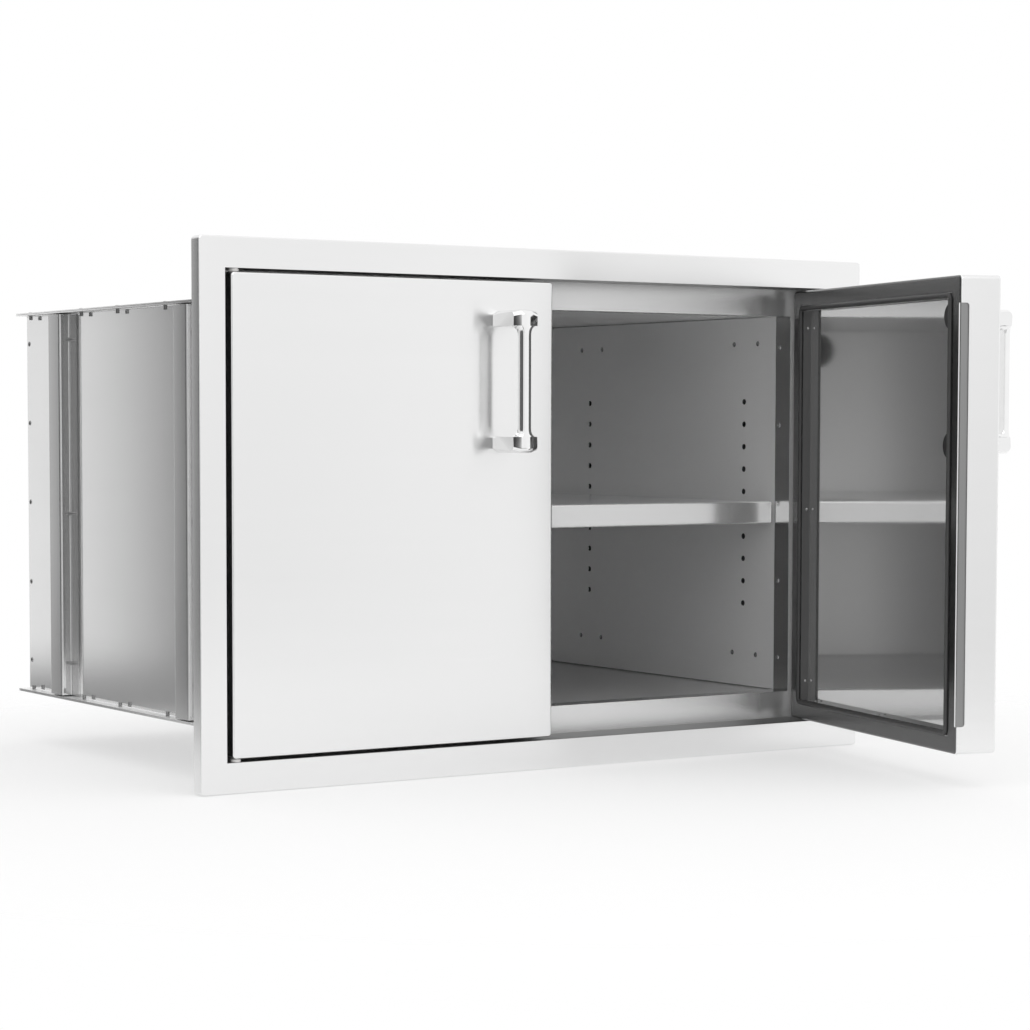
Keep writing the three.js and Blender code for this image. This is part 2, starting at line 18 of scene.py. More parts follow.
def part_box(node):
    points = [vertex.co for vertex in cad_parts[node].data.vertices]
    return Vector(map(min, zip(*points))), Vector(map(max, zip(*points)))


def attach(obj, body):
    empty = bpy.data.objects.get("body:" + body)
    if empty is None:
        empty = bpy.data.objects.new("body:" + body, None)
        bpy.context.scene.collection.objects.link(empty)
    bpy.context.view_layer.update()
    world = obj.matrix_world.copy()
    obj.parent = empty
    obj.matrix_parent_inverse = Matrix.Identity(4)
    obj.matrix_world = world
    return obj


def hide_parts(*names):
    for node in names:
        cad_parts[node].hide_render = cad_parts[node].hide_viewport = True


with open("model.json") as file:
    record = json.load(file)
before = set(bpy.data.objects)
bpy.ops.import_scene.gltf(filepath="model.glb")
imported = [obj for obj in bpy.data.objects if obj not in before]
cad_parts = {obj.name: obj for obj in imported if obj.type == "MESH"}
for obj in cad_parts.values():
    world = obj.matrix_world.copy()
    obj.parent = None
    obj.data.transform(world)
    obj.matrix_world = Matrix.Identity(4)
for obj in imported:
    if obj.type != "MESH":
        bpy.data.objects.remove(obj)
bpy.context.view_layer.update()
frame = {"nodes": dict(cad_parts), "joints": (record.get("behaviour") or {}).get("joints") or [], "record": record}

# %% [markdown]
# ## Where things are
#
# The sizes of sheet metal are easiest to read from its visible edges, so every place below is given in
# millimetres: across from the frame's middle, back from the frame's face, and up from the frame's bottom edge.
# One helper turns such a place into a point of the scene. The right door stands open, so a second helper turns
# a point on a closed right door about its hinge.

# %% Places
MM = 0.001
FACE_LOW, FACE_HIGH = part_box("face_frame")
HINGES = {joint["child"]: Vector(joint["pos_m"]) for joint in frame["joints"]}
DOOR_OPEN = math.radians(76.5)


def spot(across, back, up):
    return Vector((across * MM, FACE_LOW.y + back * MM, FACE_LOW.z + up * MM))


def door_turn(side):
    """What moves a closed door on that side (-1 left, 1 right) to where it rests."""
    if side < 0:
        return Matrix.Identity(4)
    hinge = Matrix.Translation(HINGES["right_door"])
    return hinge @ Matrix.Rotation(DOOR_OPEN, 4, "Z") @ hinge.inverted()


print("frame:", [round(value / MM, 1) for value in FACE_HIGH - FACE_LOW], "mm")
print("hinges of", sorted(HINGES), "and the right door open by", round(math.degrees(DOOR_OPEN), 1), "degrees")

# %% [markdown]
# ## The camera
#
# The camera stands low at the front left, with a long lens, and it was worked out from the frame's straight
# edges. Its picture is shifted a little, as when a photographer crops, so upright edges stay nearly upright. The
# worked-out values are counted in the pixels of a square picture, and the lens and its shifts follow from them.

# %% Camera
LENS_PIXELS = 2754.0
PICTURE_PIXELS = 1030
CENTRE_PIXELS = (483.0, 594.0)
SENSOR_WIDTH = 36.0
CAMERA_PLACE = spot(-1592.2, -2341.8, 354.3)
YAW, PITCH, ROLL = (math.radians(angle) for angle in (32.73, -3.51, 0.07))


def aim(yaw, pitch, roll):
    """The camera's turn: yaw to the right of the world's Y, pitch upwards, then roll about the line of sight."""
    forward = Vector((math.sin(yaw) * math.cos(pitch), math.cos(yaw) * math.cos(pitch), math.sin(pitch)))
    right = Vector((math.cos(yaw), -math.sin(yaw), 0))
    up = right.cross(forward)
    turned_right = right * math.cos(roll) + up * math.sin(roll)
    turned_up = up * math.cos(roll) - right * math.sin(roll)
    return Matrix((turned_right, turned_up, -forward)).transposed().to_4x4()


lens = bpy.data.cameras.new("photo_camera")
lens.sensor_width = SENSOR_WIDTH
lens.lens = LENS_PIXELS * lens.sensor_width / PICTURE_PIXELS
lens.shift_x = (PICTURE_PIXELS / 2 - CENTRE_PIXELS[0]) / PICTURE_PIXELS
lens.shift_y = (CENTRE_PIXELS[1] - PICTURE_PIXELS / 2) / PICTURE_PIXELS
camera = bpy.data.objects.new("photo_camera", lens)
bpy.context.scene.collection.objects.link(camera)
camera.matrix_world = Matrix.Translation(CAMERA_PLACE) @ aim(YAW, PITCH, ROLL)
bpy.context.scene.camera = camera
print("lens", round(lens.lens, 1), "mm, shift", round(lens.shift_x, 4), round(lens.shift_y, 4))

# %% [markdown]
# ## A short way to write nodes
#
# A finish is a sum of a few masks, and in nodes such a sum grows into a web that is hard to read. Here a small
# class wraps a socket, so that `0.3 + grain * 0.1` adds its Math nodes by itself. Every other node comes from
# one method that takes the node's type, its settings and what goes into its sockets.

# %% Node helpers


class Wire:
    """A value on its way between nodes. Sums and products of wires add their nodes by themselves."""

    def __init__(self, net, socket):
        self.net = net
        self.socket = socket

    def maths(self, operation, first, second):
        return self.net.add("ShaderNodeMath", {"operation": operation}, {0: first, 1: second})

    def __add__(self, other):
        return self.maths("ADD", self, other)

    def __radd__(self, other):
        return self.maths("ADD", other, self)

    def __sub__(self, other):
        return self.maths("SUBTRACT", self, other)

    def __rsub__(self, other):
        return self.maths("SUBTRACT", other, self)

    def __mul__(self, other):
        return self.maths("MULTIPLY", self, other)

    def __rmul__(self, other):
        return self.maths("MULTIPLY", other, self)


OPERATORS = [name for name in vars(Wire) if name.endswith(("add__", "sub__", "mul__"))]
print("a wire has", len(OPERATORS), "operators")

# %% [markdown]
# The other half is the method that adds a node. A noise and a blend are needed in nearly every finish, so each
# has its own short form.

# %% Node trees


class Net:
    """A node tree that is written from left to right."""

    def __init__(self, tree):
        self.tree = tree
        self.tree.nodes.clear()

    def add(self, kind, settings=None, values=None, output=0):
        node = self.tree.nodes.new(kind)
        for name, value in (settings or {}).items():
            if name == "stops":
                ramp = node.color_ramp.elements
                while len(ramp) < len(value):
                    ramp.new(1.0)
                for element, (position, colour) in zip(ramp, value):
                    element.position = position
                    element.color = colour
            else:
                setattr(node, name, value)
        for key, value in (values or {}).items():
            for single in value if isinstance(value, list) else [value]:
                if isinstance(single, Wire):
                    self.tree.links.new(single.socket, node.inputs[key])
                else:
                    node.inputs[key].default_value = single
        return Wire(self, node.outputs[output]) if node.outputs else node

    def noise(self, where, stretch, detail=2.0, roughness=0.5):
        """Smooth noise, squeezed along each axis by how often it repeats in a metre."""
        squeezed = self.add("ShaderNodeVectorMath", {"operation": "MULTIPLY"}, {0: where, 1: stretch})
        values = {"Vector": squeezed, "Scale": 1.0, "Detail": detail, "Roughness": roughness}
        return self.add("ShaderNodeTexNoise", {}, values)

    def blend(self, share, first, second):
        """The first colour where the share is 0, the second where it is 1."""
        colours = {0: share, 6: first, 7: second}
        return self.add("ShaderNodeMix", {"data_type": "RGBA"}, colours, output=2)


def grey(value, warmth=0.0):
    """A grey as a colour, a little towards yellow where warmth is above 0."""
    return (value * (1 + warmth), value, value * (1 - warmth), 1.0)


def finish(name, make):
    """A material whose shader takes the sockets that make(net, object_place) returns."""
    material = bpy.data.materials.new(name)
    material.use_nodes = True
    net = Net(material.node_tree)
    sockets = make(net, net.add("ShaderNodeTexCoord", output="Object"))
    shader = net.add("ShaderNodeBsdfPrincipled", {}, sockets)
    net.add("ShaderNodeOutputMaterial", {}, {"Surface": shader})
    print("finish", name, "with", len(material.node_tree.nodes), "nodes")
    return material


# %% [markdown]
# ## Steel
#
# Brushed steel is drawn under an abrasive belt, which leaves fine scratches, here all level. A scratch scatters
# light up and down but not along, so reflections smear upright. That takes two things: noise that is squeezed
# hundreds of times more upwards than along, and an anisotropic shader turned by a quarter.
#
# One recipe makes every steel in the cabinet, and each finish is a choice of its numbers. The doors and the frame
# are brushed. The outside of the box and the liners of the doors come from the mill as near mirrors, a little
# wavy, because thin sheet never lies flat. The walls inside the box face each other, and real sheet keeps a part
# of its light scattered in all directions, so they are less than half metallic here: a box of pure mirrors would
# turn black after a few reflections. Sheet without a brushed grain has faint clouds instead of scratches. Rims,
# recesses, pockets and skirts lie in shade, and their dark colours are painted shade. The near-white colour of the
# shelf and the frame behind the doors is a painted highlight.

# %% Steel finishes
SCRATCH_SQUEEZE, BROAD_SQUEEZE = (5.0, 5.0, 1300.0), (2.0, 2.0, 160.0)
CLOUD_SQUEEZE, SWELL_SQUEEZE = (7.0, 7.0, 7.0), (3.1, 3.1, 3.1)
CLOUD_DEPTH = 0.02
SCRATCH_ROUGHNESS, CLOUD_ROUGHNESS = 3.0, 0.05
QUARTER_TURN = 0.25


def steel(shade, rough, metal=1.0, grain=0.02, scratch=0.0, smear=0.0, wave=0.0):
    """Grain is how much scratches change the shade and scratch how deep they are. Smear is how far they draw out
    a reflection, and wave how much the sheet swells."""
    def make(net, place):
        scratches = net.noise(place, SCRATCH_SQUEEZE, detail=4.0, roughness=0.65)
        broad = net.noise(place, BROAD_SQUEEZE, detail=2.0)
        cloud = net.noise(place, CLOUD_SQUEEZE, detail=3.0, roughness=0.6)
        swell = net.noise(place, SWELL_SQUEEZE, detail=1.0)
        share = scratches * 0.6 + broad * 0.4 if grain else cloud
        depth = grain or CLOUD_DEPTH
        darker, lighter = grey(shade * (1 - depth)), grey(min(shade * (1 + depth), 1.0))
        change = (scratches - 0.5) * (grain * SCRATCH_ROUGHNESS) + (cloud - 0.5) * CLOUD_ROUGHNESS
        height = scratches * scratch + swell * wave
        return {
            "Base Color": net.blend(share, darker, lighter),
            "Metallic": metal,
            "Roughness": rough + change,
            "Anisotropic": smear,
            "Anisotropic Rotation": QUARTER_TURN,
            "Normal": net.add("ShaderNodeBump", {}, {"Strength": 1.0, "Distance": MM, "Height": height}),
        }
    return make


front_steel = finish("brushed_front_steel", steel(0.88, 0.21, grain=0.025, scratch=0.005, smear=0.85))
box_steel = finish("box_outside_steel", steel(0.84, 0.08, metal=0.85, wave=0.1))
inside_steel = finish("box_inside_steel", steel(0.96, 0.30, metal=0.4, grain=0.0))
floor_steel = finish("box_floor_steel", steel(0.66, 0.30, metal=0.55, grain=0.0))
# Painted highlight: a near-white base that stands in for the bright front mirrored in the shelf's lip and the
# frame behind the doors.
painted_highlight_steel = finish("painted_highlight_sheet_steel", steel(0.98, 0.24, metal=0.75, grain=0.01, scratch=0.001, smear=0.7))
liner_steel = finish("door_liner_steel", steel(0.70, 0.06, metal=0.9, grain=0.01, wave=0.2))
# Painted shade: the pocket walls and the collar lie in the shade of the frame, and their darker bases stand in for
# it.
pocket_painted_shade_steel = finish("pocket_wall_painted_shade_steel", steel(0.30, 0.42, grain=0.015, smear=0.5))
collar_painted_shade_steel = finish("collar_painted_shade_steel", steel(0.60, 0.16, metal=0.95, grain=0.01))
# Painted shade: the door rims, the recess walls and the skirts lie in shade, and these dark bases stand in for it.
rim_painted_shade_steel = finish("door_rim_steel", steel(0.14, 0.24, grain=0.01))
recess_painted_shade_steel = finish("liner_recess_painted_shade_steel", steel(0.13, 0.40, grain=0.0))
skirt_painted_shade_steel = finish("liner_skirt_painted_shade_steel", steel(0.30, 0.34, grain=0.0))
channel_steel = finish("channel_steel", steel(0.55, 0.22, metal=0.85, scratch=0.004, smear=0.3))
rivet_steel = finish("rivet_steel", steel(0.38, 0.25))

# %% [markdown]
# ## Chrome, rubber and nylon
#
# Chrome is the brightest finish and almost free of scratches. The gasket and the plugs are black rubber with a
# faint bloom that lifts the dark colour in patches. The door bushings are pale nylon.

# %% Other finishes


def chrome(net, place):
    haze = net.noise(place, (60.0, 60.0, 60.0), detail=3.0)
    return {
        "Base Color": net.blend(haze, grey(0.86), grey(0.92)),
        "Metallic": 1.0,
        "Roughness": 0.035 + haze * 0.03,
    }


def rubber(shade, rough):
    def make(net, place):
        bloom = net.noise(place, (40.0, 40.0, 40.0), detail=4.0, roughness=0.6)
        grain = net.noise(place, (1500.0, 1500.0, 1500.0), detail=2.0)
        bump = net.add("ShaderNodeBump", {}, {"Strength": 0.5, "Distance": 0.05 * MM, "Height": grain})
        return {
            "Base Color": net.blend(bloom, grey(shade * 0.7), grey(shade * 1.4)),
            "Roughness": rough + (bloom - 0.5) * 0.2,
            "Normal": bump,
        }
    return make


def nylon(net, place):
    cloud = net.noise(place, (90.0, 90.0, 90.0), detail=2.0)
    return {"Base Color": net.blend(cloud, grey(0.62, 0.02), grey(0.72, 0.01)), "Roughness": 0.45 + cloud * 0.1}


bright_chrome = finish("handle_chrome", chrome)
gasket_rubber = finish("gasket_rubber", rubber(0.05, 0.5))
plug_rubber = finish("plug_rubber", rubber(0.012, 0.45))
bushing_nylon = finish("bushing_nylon", nylon)

# %% [markdown]
# ## Which piece wears which finish
#
# The record of the part already sorts its pieces into material slots, so the finishes are handed out by slot.
# The shelf and the frame behind the doors get a near-white steel, whose colour is a painted highlight of the
# bright front that they reflect.

# %% Hand out the finishes
FINISHES = {
    "brushed_steel": front_steel,
    "box_steel": box_steel,
    "mirror_steel": liner_steel,
    "chrome": bright_chrome,
    "zinc_steel": channel_steel,
    "gasket_rubber": gasket_rubber,
    "plug_rubber": plug_rubber,
    "bushing_nylon": bushing_nylon,
}
# Pieces whose near-white colour is a painted highlight.
PAINTED_HIGHLIGHT_SHEETS = ("shelf", "stop_frame")
SLOTS = {entry["node"]: entry["material_slot"] for entry in frame["record"]["subparts"]}
for name, node in frame["nodes"].items():
    node.data.materials.clear()
    node.data.materials.append(painted_highlight_steel if name in PAINTED_HIGHLIGHT_SHEETS else FINISHES[SLOTS[name]])
print("finishes on", len(SLOTS), "pieces")

# %% [markdown]
# ## Bends that catch the light
#
# A press brake leaves a small radius at each fold, and the highlight that runs along it says sheet metal. The
# solids hold each fold as three narrow facets. A copy is welded at its points, its flat faces are merged, and
# its normals are weighted by face area, so that flats stay flat and only the folds shade smoothly. An edge that
# is bent by more than a fold's facets are stays sharp, as where a sheet was cut.

# %% Soften the folds
WELD = 0.01 * MM
FLAT, SHARP = math.radians(0.6), math.radians(40)


def finished_mesh(obj):
    """The evaluated object as a plain mesh without modifiers."""
    graph = bpy.context.evaluated_depsgraph_get()
    mesh = bpy.data.meshes.new_from_object(obj.evaluated_get(graph))
    mesh.name = obj.name
    obj.modifiers.clear()
    obj.data = mesh
    return obj


def add_object(name, mesh, *materials):
    """A new object at the origin, unturned, whose mesh holds its place."""
    obj = bpy.data.objects.new(name, mesh)
    bpy.context.scene.collection.objects.link(obj)
    for material in materials:
        mesh.materials.append(material)
    return obj


def softened(node_name, body, others=None):
    """A softer copy of a node. others maps a finish to the test of a face that wears it."""
    mesh = frame["nodes"][node_name].data.copy()
    work = bmesh.new()
    work.from_mesh(mesh)
    bmesh.ops.remove_doubles(work, verts=work.verts, dist=WELD)
    bmesh.ops.dissolve_limit(work, angle_limit=FLAT, verts=work.verts, edges=work.edges)
    for face in work.faces:
        face.smooth = True
        for index, belongs in enumerate((others or {}).values()):
            if belongs(face.calc_center_median(), face.normal):
                face.material_index = index + 1
    for edge in work.edges:
        edge.smooth = edge.is_manifold and edge.calc_face_angle() < SHARP
    work.to_mesh(mesh)
    work.free()
    obj = add_object(node_name + "_soft", mesh, *(others or {}))
    weigh = obj.modifiers.new("flat_faces_stay_flat", "WEIGHTED_NORMAL")
    weigh.keep_sharp = True
    weigh.weight = 100
    finished_mesh(obj)
    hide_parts(node_name)
    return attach(obj, body)


BODY_OF = {node: body for body, nodes in frame["record"]["behaviour"]["bodies"].items() for node in nodes}
NOT_BENT = ("_handle", "_gasket", "_screw")
BENT = [name for name in sorted(BODY_OF) if not name.endswith(NOT_BENT)]
SPECIAL = ("face_frame", "stop_frame", "_liner", "_pan", "_panel", "_channel")
PLAIN = [name for name in BENT if not name.endswith(SPECIAL)]
for name in PLAIN:
    softened(name, BODY_OF[name])
print("softened", len(PLAIN), "pieces of one finish, and left", len(BENT) - len(PLAIN), "for the next step")

# %% [markdown]
# The other sheets wear more than one finish. They are brushed only where they were meant to be seen, and some of
# their faces lie in shade. Each test below takes the middle and the direction of a face and says whether the face
# wears the second finish. The walls of the frame's pocket, in which the doors sit, keep a rougher mill finish, and
# their darker colour, like that of the collar behind them, is painted shade.
# The inside of the box is duller than its outside, so a shelf's contents are lit softly, and its floor is darker
# than its walls. The channels outside the box are zinc-grey in front, and their walls mirror the box beside them.

# %% Sheets with more than one finish
SIDE_RAIL, CROSS_RAIL, SHEET = 28.0, 30.0, 1.5
RAILS = FACE_HIGH - FACE_LOW
BOX_MIDDLE = spot(0, 290, 266)
# How nearly a face looks along an axis: the cosines of 60, 46 and 18 degrees.
BARELY, MOSTLY, SQUARELY = 0.5, 0.7, 0.95


def is_pocket_wall(middle, normal):
    across = RAILS.x / 2 - abs(middle.x - (FACE_LOW.x + FACE_HIGH.x) / 2)
    up = min(middle.z - FACE_LOW.z, FACE_HIGH.z - middle.z)
    inside = across > (SIDE_RAIL - SHEET / 2) * MM and up > (CROSS_RAIL - SHEET / 2) * MM
    return inside and abs(normal.y) < BARELY


def is_collar(middle, normal):
    return abs(normal.y) < BARELY


def is_channel_wall(middle, normal):
    return abs(normal.x) < BARELY


def looks_inwards(middle, normal):
    return normal.dot(BOX_MIDDLE - middle) > 0 and max(abs(value) for value in normal) > SQUARELY


# The pocket walls and the collar wear darker steel that is painted shade.
softened("face_frame", "cabinet", {pocket_painted_shade_steel: is_pocket_wall})
softened("stop_frame", "cabinet", {collar_painted_shade_steel: is_collar})
for name in BENT:
    if name.endswith("_panel"):
        softened(name, "cabinet", {floor_steel if name == "bottom_panel" else inside_steel: looks_inwards})
    elif name.endswith("_channel"):
        softened(name, "cabinet", {box_steel: is_channel_wall})
print("softened the frame, its collar, the panels and the channels")

# %% [markdown]
# A door is two trays, one closing the other. The pan is the brushed shell that everybody sees, and its rim faces
# the box, round the gasket. The liner is polished, and its folded walls are rougher: the skirt, which shows in the
# notch of the door's free edge, and the hinge-side wall of its recess. The rim, the skirt and the recess wall lie
# in shade, and their dark colours are painted shade. The tests ask how a face looks on the closed door, so each
# face is first turned back with its door.

# %% Doors
RIM_BACK = 40.0
NEAR_FREE_EDGE = 100.0
for side, word in ((-1, "left"), (1, "right")):
    closed = door_turn(side).inverted()
    straight = closed.to_3x3()

    def is_rim(middle, normal):
        return (straight @ normal).y > MOSTLY and (closed @ middle).y > spot(0, RIM_BACK, 0).y

    def is_skirt(middle, normal):
        to_middle = (straight @ normal).x * side < -MOSTLY
        return to_middle and (closed @ middle).x * side < NEAR_FREE_EDGE * MM

    def is_recess_wall(middle, normal):
        to_middle = (straight @ normal).x * side < -MOSTLY
        return to_middle and (closed @ middle).x * side > NEAR_FREE_EDGE * MM

    # The rim, the skirt and the recess wall wear dark steel that is painted shade.
    softened(word + "_door_pan", word + "_door", {rim_painted_shade_steel: is_rim})
    softened(word + "_door_liner", word + "_door", {skirt_painted_shade_steel: is_skirt, recess_painted_shade_steel: is_recess_wall})
    print("softened the pan and the liner of the", word, "door")

# %% [markdown]
# ## The bow handles
#
# Each handle is a cast and chromed bow. Its feet are wide blocks with flat chamfers, a little wider at the door
# than at the front, and a slim grip flows out of them in a curve. The outer corners are tight and the inner ones
# generous. Stations are spaced along the bow, each with a point on its outer line and one on its inner line.
# Where a foot ends, two stations share one place with two widths, which makes the flat shoulder that the grip
# grows from.

# %% Stations of the bow
FOOT_SPACING = 127.0
FOOT_THICK, GRIP_THICK = 16.0, 7.5
FOOT_WIDE, FRONT_WIDE, NECK_WIDE, GRIP_WIDE = 30.0, 28.8, 21.0, 14.0
NECK_LONG = 9.0
REACH = 41.5
OUTER_RADIUS, INNER_RADIUS = 5.0, 11.0
FOOT_CORNER, GRIP_CORNER, BACK_CORNER = (8.0, 4.1), (3.2, 6.4), (0.7, 0.7)
FOOT_BEVEL, GRIP_BEVEL = 1.02, 1.34
FOOT_STEPS, CORNER_STEPS, NECK_STEPS, GRIP_STEPS = 8, 10, 12, 8
NECK_CORNER = 0.6


def bow_half():
    """Stations from the door face up to the grip's middle: outer point, inner point, width, corner size."""
    outer_half, inner_half = (FOOT_SPACING + FOOT_THICK) / 2, (FOOT_SPACING - FOOT_THICK) / 2
    outer_bend, inner_bend = REACH - OUTER_RADIUS, REACH - GRIP_THICK - INNER_RADIUS
    line = [(-outer_bend * i / FOOT_STEPS, outer_half) for i in range(FOOT_STEPS)]
    for i in range(CORNER_STEPS + 1):
        angle = math.pi / 2 * i / CORNER_STEPS
        back, drop = OUTER_RADIUS * math.sin(angle), OUTER_RADIUS * (1 - math.cos(angle))
        line.append((-outer_bend - back, outer_half - drop))
    line.append((-REACH, inner_half))
    stations = []
    for i, point in enumerate(line):
        out = i / (len(line) - 1)
        wide = FOOT_WIDE + (FRONT_WIDE - FOOT_WIDE) * -point[0] / REACH
        stations.append((point, (-inner_bend * out, inner_half), wide, FOOT_CORNER, FOOT_BEVEL))
    for i in range(NECK_STEPS + 1):
        turn = i / NECK_STEPS
        angle = math.pi / 2 * turn
        outer = (-REACH, inner_half - INNER_RADIUS * turn)
        inner = (-inner_bend - INNER_RADIUS * math.sin(angle), inner_half - INNER_RADIUS * (1 - math.cos(angle)))
        fade = max(1 - INNER_RADIUS * turn / NECK_LONG, 0.0) ** 2
        corner = [small + (large * NECK_CORNER - small) * fade for small, large in zip(GRIP_CORNER, FOOT_CORNER)]
        stations.append((outer, inner, GRIP_WIDE + (NECK_WIDE - GRIP_WIDE) * fade, corner, GRIP_BEVEL))
    low = inner_half - INNER_RADIUS
    for i in range(1, GRIP_STEPS + 1):
        rest = 1 - i / GRIP_STEPS
        ends = (-REACH, low * rest), (GRIP_THICK - REACH, low * rest)
        stations.append((*ends, GRIP_WIDE, GRIP_CORNER, GRIP_BEVEL))
    return stations


UPPER_HALF = bow_half()
print(len(UPPER_HALF), "stations from the door to the grip's middle")

# %% [markdown]
# Between the two points of a station stands the bow's section, a rectangle with worked corners. The corners
# at the front are cut almost flat on the feet, as by a file, and rounded a little more on the grip. The corners at
# the back are just broken. Skinning the sections in turn gives one closed skin, and the lower half is the upper
# half mirrored. A thin joint stays between foot and door, as in the solids.

# %% Bow handles
RING_STEPS = 7
HANDLE_ACROSS, HANDLE_UP = 61.1, 398.0
HANDLE_JOINT = 0.3


def ring_of(outer, inner, wide, corner, bevel):
    """A rectangle between two points. Its front corners are ellipses for a bevel of 2, and cut flat for 1."""
    power = 2 / bevel
    middle = Vector(((outer[0] + inner[0]) / 2, (outer[1] + inner[1]) / 2))
    reach = Vector((outer[0] - inner[0], outer[1] - inner[1])) / 2
    along = reach.normalized()
    points = []
    for quarter, (sign_wide, sign_thick) in enumerate(((1, 1), (-1, 1), (-1, -1), (1, -1))):
        size_wide, size_thick = corner if sign_thick > 0 else BACK_CORNER
        for i in range(RING_STEPS + 1):
            angle = math.pi / 2 * (quarter + i / RING_STEPS)
            cosine, sine = math.cos(angle), math.sin(angle)
            across = sign_wide * (wide / 2 - size_wide) + size_wide * math.copysign(abs(cosine) ** power, cosine)
            out = sign_thick * (reach.length - size_thick) + size_thick * math.copysign(abs(sine) ** power, sine)
            points.append((across, middle.x + along.x * out, middle.y + along.y * out))
    return points


def handle_mesh(name):
    lower_half = [((a[0], -a[1]), (b[0], -b[1]), *rest) for a, b, *rest in reversed(UPPER_HALF[:-1])]
    work = bmesh.new()
    rings = [[work.verts.new(point) for point in ring_of(*station)] for station in UPPER_HALF + lower_half]
    for first, second in zip(rings, rings[1:]):
        for i in range(len(first)):
            j = (i + 1) % len(first)
            work.faces.new((first[i], first[j], second[j], second[i]))
    work.faces.new(reversed(rings[0]))
    work.faces.new(rings[-1])
    bmesh.ops.recalc_face_normals(work, faces=work.faces)
    for face in work.faces:
        face.smooth = len(face.verts) == 4
    for edge in work.edges:
        edge.smooth = edge.calc_face_angle() < SHARP
    mesh = bpy.data.meshes.new(name)
    work.to_mesh(mesh)
    work.free()
    return mesh


for side, word in ((-1, "left"), (1, "right")):
    mesh = handle_mesh(word + "_bow_handle")
    place = Matrix.Translation(spot(side * HANDLE_ACROSS, -HANDLE_JOINT, HANDLE_UP)) @ Matrix.Scale(MM, 4)
    mesh.transform(door_turn(side) @ place)
    handle = add_object(word + "_bow_handle", mesh, bright_chrome)
    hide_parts(word + "_handle")
    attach(handle, word + "_door")
    print(handle.name, len(mesh.polygons), "faces")

# %% [markdown]
# ## The door gaskets
#
# A magnetic gasket is one extruded rubber bulb that runs round the liner and stands a little proud of the door's
# rim, and it follows a path, which is work for Geometry Nodes. A tree of them starts and ends the same way each
# time: it names the sizes that it is given and its material, and at last it makes its geometry real and dresses
# it. Three helpers do that and hand the values to a modifier.

# %% Tree helpers


def open_tree(name, sizes, material, takes_points=False):
    """A new tree of Geometry Nodes with named inputs, and the function that reads one of them."""
    tree = bpy.data.node_groups.new(name, "GeometryNodeTree")
    net = Net(tree)
    face = tree.interface
    face.new_socket(name="Geometry", in_out="OUTPUT", socket_type="NodeSocketGeometry")
    if takes_points:
        face.new_socket(name="Geometry", in_out="INPUT", socket_type="NodeSocketGeometry")
    for size in sizes:
        face.new_socket(name=size, in_out="INPUT", socket_type="NodeSocketFloat")
    face.new_socket(name=material, in_out="INPUT", socket_type="NodeSocketMaterial")

    def given(socket):
        return net.add("NodeGroupInput", output=socket)

    return net, given


def close_tree(net, geometry, material):
    """Makes the geometry real, gives it its material, and hands over the finished tree."""
    real = net.add("GeometryNodeRealizeInstances", {}, {"Geometry": geometry})
    dressed = net.add("GeometryNodeSetMaterial", {}, {"Geometry": real, "Material": material})
    net.add("NodeGroupOutput", {}, {"Geometry": dressed})
    print("tree", net.tree.name, "with", len(net.tree.nodes), "nodes")
    return net.tree


def fill_inputs(modifier, values):
    items = [item for item in modifier.node_group.interface.items_tree if item.in_out == "INPUT"]
    sockets = [item for item in items if item.socket_type != "NodeSocketGeometry"]
    for socket, value in zip(sockets, values):
        modifier[socket.identifier] = value


# %% [markdown]
# The gasket's path is a rectangle with filleted corners, and what is swept along it is a squashed circle, the
# bulb. The curve's normals are held upright, so the bulb doesn't twist in the corners.

# %% Gasket tree
BULB_SIDES, CORNER_SIDES = 20, 8


def gasket_tree():
    ring_and_bulb = ("Ring width", "Ring height", "Corner radius", "Bulb width", "Bulb height")
    net, given = open_tree("gasket_round_a_door", ring_and_bulb, "Rubber")
    sizes = {"Width": given("Ring width"), "Height": given("Ring height")}
    path = net.add("GeometryNodeCurvePrimitiveQuadrilateral", {}, sizes)
    values = {"Curve": path, "Count": CORNER_SIDES, "Radius": given("Corner radius")}
    rounded = net.add("GeometryNodeFilletCurve", {"mode": "POLY"}, values)
    steady = net.add("GeometryNodeSetCurveNormal", {"mode": "Z_UP"}, {"Curve": rounded})
    circle = net.add("GeometryNodeCurvePrimitiveCircle", {}, {"Resolution": BULB_SIDES, "Radius": 0.5})
    squash = net.add("ShaderNodeCombineXYZ", {}, {"X": given("Bulb width"), "Y": given("Bulb height"), "Z": 1.0})
    bulb = net.add("GeometryNodeTransform", {}, {"Geometry": circle, "Scale": squash})
    swept = net.add("GeometryNodeCurveToMesh", {}, {"Curve": steady, "Profile Curve": bulb})
    smooth = net.add("GeometryNodeSetShadeSmooth", {}, {"Geometry": swept})
    return close_tree(net, smooth, given("Rubber"))


GASKET_TREE = gasket_tree()

# %% [markdown]
# The swept ring lies flat at first, then it is stood up and put on its door. Its sizes follow from the door's
# four edges and from how far the gasket stays inside them.

